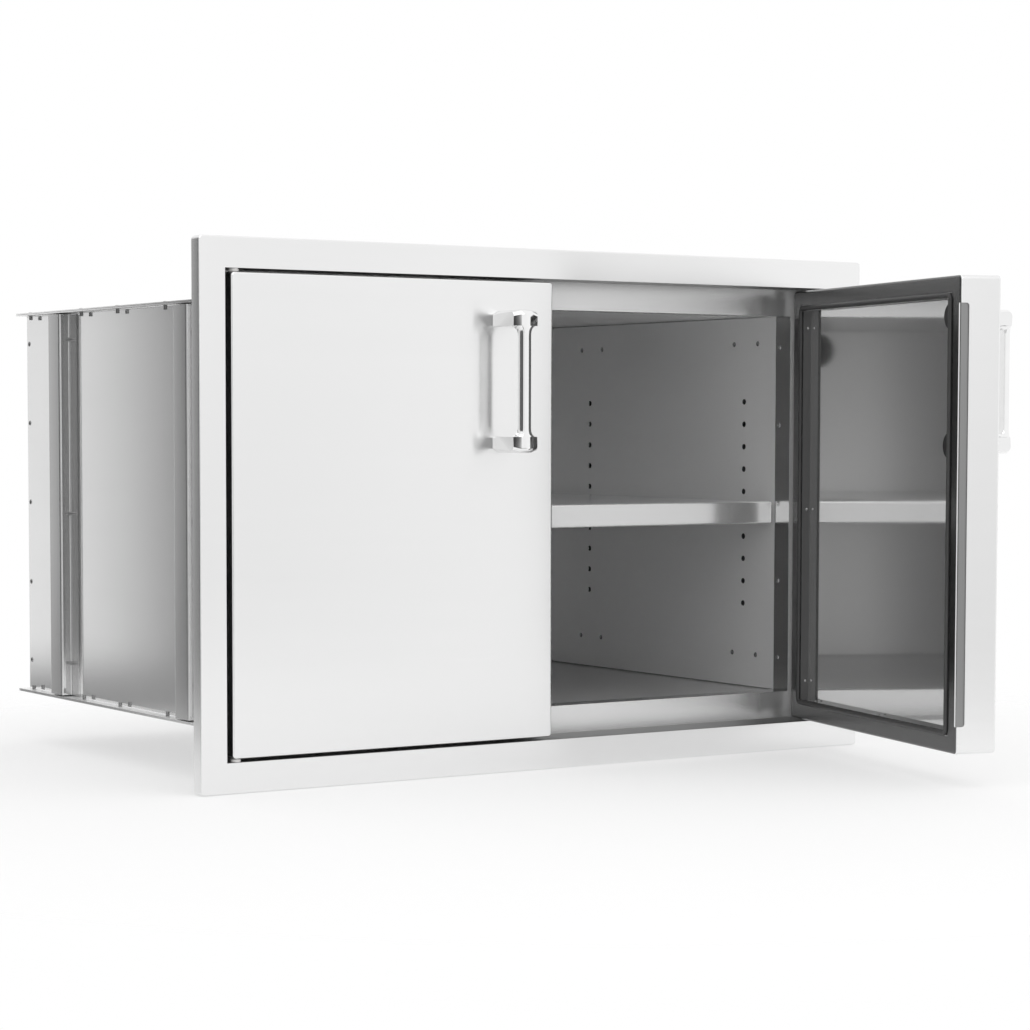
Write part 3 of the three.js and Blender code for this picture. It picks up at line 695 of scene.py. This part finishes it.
# %% Gaskets
DOOR_FREE, DOOR_HINGE, DOOR_LOW, DOOR_HIGH = 2.1, 372.1, 33.2, 500.2
GASKET_EDGE, GASKET_WIDE, GASKET_CORNER = 16.3, 5.2, 5.0
GASKET_FOOT, GASKET_TOP = 43.8, 47.5
for side, word in ((-1, "left"), (1, "right")):
    gasket = add_object(word + "_gasket_bulb", bpy.data.meshes.new(word + "_gasket_bulb"))
    nodes = gasket.modifiers.new("sweep", "NODES")
    nodes.node_group = GASKET_TREE
    inset = 2 * GASKET_EDGE + GASKET_WIDE
    ring = (DOOR_HINGE - DOOR_FREE - inset, DOOR_HIGH - DOOR_LOW - inset, GASKET_CORNER, GASKET_WIDE)
    fill_inputs(nodes, [size * MM for size in (*ring, GASKET_TOP - GASKET_FOOT)] + [gasket_rubber])
    finished_mesh(gasket)
    middle = spot(side * (DOOR_FREE + DOOR_HINGE) / 2, (GASKET_FOOT + GASKET_TOP) / 2, (DOOR_LOW + DOOR_HIGH) / 2)
    stand = Matrix.Rotation(math.pi / 2, 4, "X")
    gasket.data.transform(door_turn(side) @ Matrix.Translation(middle) @ stand)
    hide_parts(word + "_door_gasket")
    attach(gasket, word + "_door")
    print(gasket.name, len(gasket.data.polygons), "faces")

# %% [markdown]
# ## Rivets
#
# Blind rivets hold the sheets together. A rivet has a low domed head on the side it was set from, and a barrel
# that comes out on the other. All of them come from one tree of Geometry Nodes: it puts a head and a barrel on
# each point, turned to the direction that the point carries.

# %% Rivet tree
HEAD_SIDES, HEAD_RINGS, BARREL_SIDES = 16, 8, 14


def rivet_tree():
    head_and_barrel = ("Head radius", "Head height", "Barrel radius", "Barrel length")
    net, given = open_tree("rivets_on_points", head_and_barrel, "Steel", takes_points=True)
    flat = net.add("ShaderNodeMath", {"operation": "DIVIDE"}, {0: given("Head height"), 1: given("Head radius")})
    sizes = {"Segments": HEAD_SIDES, "Rings": HEAD_RINGS, "Radius": given("Head radius")}
    dome = net.add("GeometryNodeMeshUVSphere", {}, sizes)
    squash = net.add("ShaderNodeCombineXYZ", {}, {"X": 1.0, "Y": 1.0, "Z": flat})
    head = net.add("GeometryNodeTransform", {}, {"Geometry": dome, "Scale": squash})
    smooth = net.add("GeometryNodeSetShadeSmooth", {}, {"Geometry": head})
    sizes = {"Vertices": BARREL_SIDES, "Radius": given("Barrel radius"), "Depth": given("Barrel length")}
    tube = net.add("GeometryNodeMeshCylinder", {}, sizes)
    sink = net.add("ShaderNodeCombineXYZ", {}, {"Z": given("Barrel length") * -0.5})
    barrel = net.add("GeometryNodeTransform", {}, {"Geometry": tube, "Translation": sink})
    rivet = net.add("GeometryNodeJoinGeometry", {}, {"Geometry": [smooth, barrel]})
    axis = net.add("GeometryNodeInputNamedAttribute", {"data_type": "FLOAT_VECTOR"}, {"Name": "axis"})
    turn = net.add("FunctionNodeAlignRotationToVector", {"axis": "Z"}, {"Vector": axis})
    values = {"Points": given("Geometry"), "Instance": rivet, "Rotation": turn}
    placed = net.add("GeometryNodeInstanceOnPoints", {}, values)
    return close_tree(net, placed, given("Steel"))


RIVET_TREE = rivet_tree()


def rivets(name, body, places, head, barrel, steel_finish):
    """places lists (point, direction). head and barrel are (radius, length) in millimetres."""
    mesh = bpy.data.meshes.new(name)
    mesh.from_pydata([point for point, _ in places], [], [])
    axis = mesh.attributes.new("axis", "FLOAT_VECTOR", "POINT")
    axis.data.foreach_set("vector", [value for _, way in places for value in way])
    obj = add_object(name, mesh)
    nodes = obj.modifiers.new("rivets", "NODES")
    nodes.node_group = RIVET_TREE
    fill_inputs(nodes, [size * MM for size in (*head, *barrel)] + [steel_finish])
    finished_mesh(obj)
    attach(obj, body)
    print(name, len(places), "rivets,", len(obj.data.polygons), "faces")


# %% [markdown]
# Rows of rivets follow the sheets' seams. The collar behind the door opening has five on each side, and the back
# panel has five along each rear edge. Each channel over the shelf-pin holes is held by three rivets through each
# flange. They are set from inside, so their heads show on the walls and their tails outside. The lips along the
# box's top and bottom are riveted from above and below, so their barrels show between the lips.

# %% Rivet rows
WALL_INNER, WALL_OUTER = 349.2, 350.4
COLLAR_INNER, LIP_MIDDLE = 347.4, 355.8
COLLAR_BACK, REAR_BACK = 66.5, 527.5
BOX_BOTTOM, BOX_TOP = 56.0, 477.4
SIDES = (-1, 1)

collar = [
    (spot(s * COLLAR_INNER, COLLAR_BACK, up), (-s, 0, 0))
    for s in SIDES for up in (440.6, 354.3, 267.5, 181.0, 95.0)
]
rear = [
    (spot(s * WALL_OUTER, REAR_BACK, up), (s, 0, 0))
    for s in SIDES for up in (443.9, 356.0, 267.9, 178.8, 90.7)
]
flanges = [
    (spot(s * WALL_INNER, back, up), (-s, 0, 0))
    for s in SIDES for back in (107.6, 150.4, 411.4, 454.2) for up in (446.0, 258.0, 95.0)
]
lips = [
    (spot(s * LIP_MIDDLE, back, up), (0, 0, way))
    for s in SIDES for back in (174.0, 286.0, 376.0, 510.0) for up, way in ((BOX_TOP, 1), (BOX_BOTTOM, -1))
]
# Each row: its places, the head's radius and height, the barrel's radius and length, and its steel.
RIVET_ROWS = {
    "collar_rivets": (collar, (2.7, 1.0), (1.6, 3.0), channel_steel),
    "rear_edge_rivets": (rear, (2.9, 1.1), (1.6, 4.0), rivet_steel),
    "channel_rivets": (flanges, (2.9, 1.1), (2.0, 7.0), rivet_steel),
    "lip_rivets": (lips, (3.2, 1.2), (2.0, 7.5), rivet_steel),
}
for name, row in RIVET_ROWS.items():
    rivets(name, "cabinet", *row)

# %% [markdown]
# The liner of each door is riveted to the pan through the walls of its recess, three on the hinge side and two
# below. They are smaller, because a door's sheets only hold each other.

# %% Liner rivets
LINER_HINGE_WALL, LINER_LOW_WALL, RIVET_BACK = 350.3, 55.0, 38.0
SMALL_HEAD, SMALL_BARREL = (1.6, 0.8), (1.0, 1.4)
for side, word in ((-1, "left"), (1, "right")):
    turn = door_turn(side)
    level = turn.to_3x3() @ Vector((-side, 0, 0))
    places = [(turn @ spot(side * LINER_HINGE_WALL, RIVET_BACK, up), level) for up in (460.0, 263.0, 75.0)]
    places += [(turn @ spot(side * across, RIVET_BACK, LINER_LOW_WALL), (0, 0, 1)) for across in (324.0, 176.0)]
    rivets(word + "_liner_rivets", word + "_door", places, SMALL_HEAD, SMALL_BARREL, rivet_steel)

# %% [markdown]
# ## Light for metal
#
# Metal shows what stands around it. A photographer puts it in a tent of white cloth, which is open where the
# camera looks in, and screens at the sides give the faces that look that way their shape. The world is that tent,
# drawn as two rings of greys around the compass, one above a low horizon and one below it. The narrow dark stop
# in them is the opening, which gives chrome its black lines. The broad one is a dark screen at the left, and the
# side wall of the box mirrors its rear edge, so the wall shades from bright to grey. A white ceiling closes over
# it all. Nothing changes with the viewer: what the camera sees behind the cabinet is the same white cloth that
# the steel reflects. Two weak lamps, one above and one in front, give the tent's light a direction.

# %% World and lamps
# Each pair is a direction in degrees, from straight behind the cabinet towards its right, and a grey.
TENT_GREYS = (
    (-180, 0.97), (-167, 0.97), (-162, 0.06), (-152, 0.06), (-145, 1.0), (-112, 1.0), (-106, 0.12), (-50, 0.12),
    (-27.5, 0.10), (-24, 0.92), (-12, 1.0), (142, 1.0), (158, 0.96), (180, 0.97),
)
FOOT_GREYS = (
    (-180, 0.62), (-167, 0.62), (-162, 0.06), (-152, 0.06), (-145, 0.80), (-112, 0.80), (-106, 0.12), (-50, 0.12),
    (-27, 0.25), (-18, 0.30), (-8, 1.0), (142, 1.0), (155, 0.62), (180, 0.62),
)
FOOT_LINE = math.sin(math.radians(-5.0))
FOOT_BLUR = math.sin(math.radians(0.5))
CEILING_FROM, CEILING_FULL = math.sin(math.radians(17)), math.sin(math.radians(28))


def ring_of_greys(net, turn_share, pairs):
    """turn_share goes from 0 to 1 once around the compass."""
    stops = [((angle + 180) / 360, grey(value)) for angle, value in pairs]
    cloth = net.add("ShaderNodeValToRGB", {"stops": stops}, {"Fac": turn_share})
    cloth.socket.node.color_ramp.interpolation = "EASE"
    return cloth


def rise(net, value, low, high):
    """0 up to low, 1 from high, and a smooth rise between them."""
    limits = {"Value": value, "From Min": low, "From Max": high}
    return net.add("ShaderNodeMapRange", {"interpolation_type": "SMOOTHSTEP"}, limits)


def tent():
    world = bpy.data.worlds.new("light_tent")
    bpy.context.scene.world = world
    world.use_nodes = True
    net = Net(world.node_tree)
    way = net.add("ShaderNodeTexCoord", output="Generated")
    across, back, up = (net.add("ShaderNodeSeparateXYZ", {}, {0: way}, output=axis) for axis in "XYZ")
    turn_share = across.maths("ARCTAN2", across, back) * (0.5 / math.pi) + 0.5
    above = rise(net, up, FOOT_LINE - FOOT_BLUR, FOOT_LINE + FOOT_BLUR)
    walls = [ring_of_greys(net, turn_share, pairs) for pairs in (FOOT_GREYS, TENT_GREYS)]
    ceiling = rise(net, up, CEILING_FROM, CEILING_FULL)
    colour = net.blend(ceiling, net.blend(above, *walls), grey(1.0))
    shine = net.add("ShaderNodeBackground", {}, {"Color": colour, "Strength": 1.0})
    net.add("ShaderNodeOutputWorld", {}, {"Surface": shine})
    print("tent with", len(TENT_GREYS), "and", len(FOOT_GREYS), "greys")


def soft_box(name, place, target, size, power):
    light = bpy.data.lights.new(name, "AREA")
    light.shape = "RECTANGLE"
    light.size, light.size_y = size
    light.energy = power
    obj = bpy.data.objects.new(name, light)
    bpy.context.scene.collection.objects.link(obj)
    direction = Vector(target) - Vector(place)
    obj.rotation_euler = direction.to_track_quat("-Z", "Y").to_euler()
    obj.location = place
    print(name, "of", power, "W,", round(direction.length, 2), "m away")


tent()
soft_box("top_box", place=(-0.6, -0.8, 2.6), target=(0.0, 0.2, 0.3), size=(2.4, 1.6), power=4.0)
soft_box("front_box", place=(-0.2, -2.6, 1.5), target=(0.1, 0.3, 0.25), size=(2.2, 1.2), power=7.0)

# %% [markdown]
# ## The floor
#
# The floor is a round of white paper that fades out into the tent, so no horizon shows. Near the cabinet it stays
# whole, because there it carries the soft shadow. Paper under a bright tent is nearly as white as the tent
# itself, so what the camera and the steel see of it is mixed with plain white, and no lamp has to be turned up
# for it.

# %% Floor
FLOOR_MIDDLE = spot(0, -50, 0)
FLOOR_WHOLE, FLOOR_GONE = 0.62, 1.15
FLOOR_DROP = 0.5
PAPER_LIFT = 0.45
WHITENED_FOR = ("Is Camera Ray", "Is Glossy Ray", "Is Transmission Ray")


def floor():
    work = bmesh.new()
    bmesh.ops.create_grid(work, x_segments=1, y_segments=1, size=FLOOR_GONE * 1.5)
    mesh = bpy.data.meshes.new("floor")
    work.to_mesh(mesh)
    work.free()
    mesh.transform(Matrix.Translation((0, 0, FACE_LOW.z - FLOOR_DROP * MM)))

    cloth = bpy.data.materials.new("pale_floor")
    cloth.use_nodes = True
    net = Net(cloth.node_tree)
    place = net.add("ShaderNodeTexCoord", output="Object")
    cloud = net.noise(place, (2.0, 2.0, 2.0), detail=2.0)
    pale = net.add("ShaderNodeBsdfDiffuse", {}, {"Color": net.blend(cloud, grey(0.955), grey(0.97))})
    white = net.add("ShaderNodeEmission", {}, {"Color": grey(1.0), "Strength": 1.0})
    seen, *others = (net.add("ShaderNodeLightPath", output=ray) for ray in WHITENED_FOR)
    for ray in others:
        seen = seen + ray
    paper = net.add("ShaderNodeMixShader", {}, {0: seen * PAPER_LIFT, 1: pale, 2: white})
    centred = net.add("ShaderNodeVectorMath", {"operation": "SUBTRACT"}, {0: place, 1: FLOOR_MIDDLE})
    away = net.add("ShaderNodeVectorMath", {"operation": "LENGTH"}, {0: centred}, output="Value")
    clear = net.add("ShaderNodeBsdfTransparent")
    mixed = net.add("ShaderNodeMixShader", {}, {0: rise(net, away, FLOOR_WHOLE, FLOOR_GONE), 1: paper, 2: clear})
    net.add("ShaderNodeOutputMaterial", {}, {"Surface": mixed})
    add_object("floor", mesh, cloth)
    print("floor whole to", FLOOR_WHOLE, "m and gone from", FLOOR_GONE, "m")


floor()
bpy.context.scene.view_settings.view_transform = "Standard"

# %% [markdown]
# ## How big it came out
# Softer folds, smooth handles and rivets must not make the cabinet bigger.
